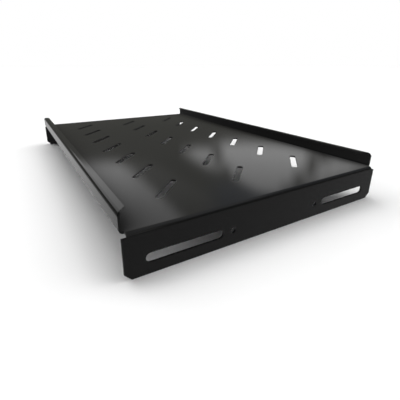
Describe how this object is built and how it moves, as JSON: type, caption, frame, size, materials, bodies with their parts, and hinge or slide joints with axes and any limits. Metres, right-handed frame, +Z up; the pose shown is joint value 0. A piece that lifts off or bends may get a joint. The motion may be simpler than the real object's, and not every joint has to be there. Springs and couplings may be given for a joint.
{
  "type": "cantilever rack shelf",
  "caption": "Ventilated rack shelf folded from sheet steel, with a slotted front flange and a plain rear flange turned down, low lipped rims up its sides and slanted slots through its deck.",
  "frame": {"origin": "on the plane of the flanges' lower edges, under the middle of the deck", "axes": "+Z up, out of the deck's top; +Y from the slotted front flange to the plain rear one, along the lipped rims; +X along the flanges, to the right when the front flange is faced"},
  "size_m": [0.35, 0.55, 0.062],
  "materials": {
    "painted_steel": "semi-gloss black powder coat"
  },
  "bodies": {
    "root": {"shelf": "painted_steel"}
  },
  "joints": []
}
